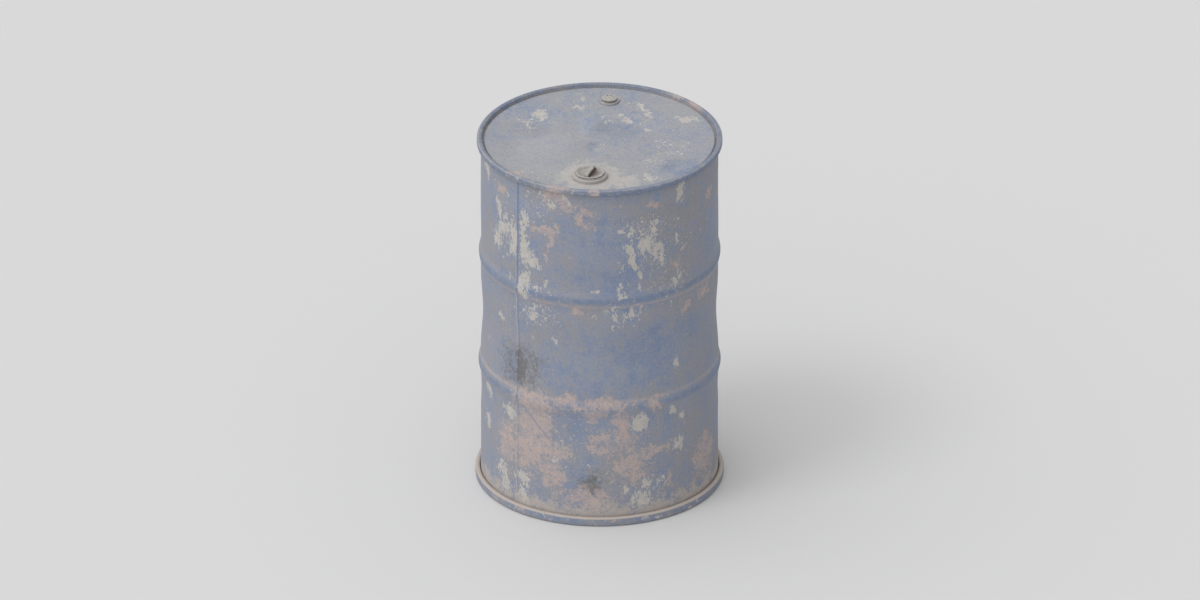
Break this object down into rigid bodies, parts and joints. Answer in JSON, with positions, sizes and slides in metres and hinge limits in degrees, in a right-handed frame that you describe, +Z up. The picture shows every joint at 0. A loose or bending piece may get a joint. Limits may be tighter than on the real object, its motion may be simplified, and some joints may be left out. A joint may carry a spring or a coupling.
{
  "type": "rusty oil barrel",
  "caption": "Closed-top steel oil barrel, dented, worn and rusty, with rolling hoops, rolled chimes and screw-in bungs with gaskets in its top head.",
  "frame": {"origin": "centre of the ring that the barrel stands on, at floor level", "axes": "+Z up along the barrel's axis, -Y towards the front, where the large bung lies; +X to the right seen from the front"},
  "size_m": [0.5897, 0.5889, 0.9022],
  "materials": {
    "body_paint": "worn matt blue paint, chipped and rusty",
    "head_paint": "dusty faded blue paint",
    "foot_paint": "rusty and dirty blue paint",
    "seam_compound": "matt",
    "zinc": "dull dusty zinc",
    "gasket": "matt"
  },
  "bodies": {
    "drum": {"body_shell": "body_paint", "top_head": "head_paint", "bottom_head": "foot_paint", "top_seam_compound": "seam_compound", "bottom_seam_compound": "seam_compound", "large_bung_flange": "zinc", "large_flange_gasket": "gasket", "small_bung_flange": "zinc", "small_flange_gasket": "gasket"},
    "large_gasket": {"large_bung_gasket": "gasket"},
    "large_bung": {"large_bung": "zinc"},
    "small_gasket": {"small_bung_gasket": "gasket"},
    "small_bung": {"small_bung": "zinc"}
  },
  "joints": [
    {"name": "large_bung_rise", "type": "slide", "parent": "drum", "child": "large_gasket", "axis": [0, 0, 1], "range_m": [0, 0.0208]},
    {"name": "large_bung_turn", "type": "hinge", "parent": "large_gasket", "child": "large_bung", "pos_m": [-0.02314, -0.19997, 0.883], "axis": [0, 0, 1], "range_deg": [0, 3240]},
    {"name": "small_bung_rise", "type": "slide", "parent": "drum", "child": "small_gasket", "axis": [0, 0, 1], "range_m": [0, 0.0146]},
    {"name": "small_bung_turn", "type": "hinge", "parent": "small_gasket", "child": "small_bung", "pos_m": [0.02314, 0.19997, 0.883], "axis": [0, 0, 1], "range_deg": [0, 2880]}
  ],
  "couplings": [
    {"joint": "large_bung_rise", "follows": "large_bung_turn", "m_per_rad": 0.00036749},
    {"joint": "small_bung_rise", "follows": "small_bung_turn", "m_per_rad": 0.00028871}
  ]
}
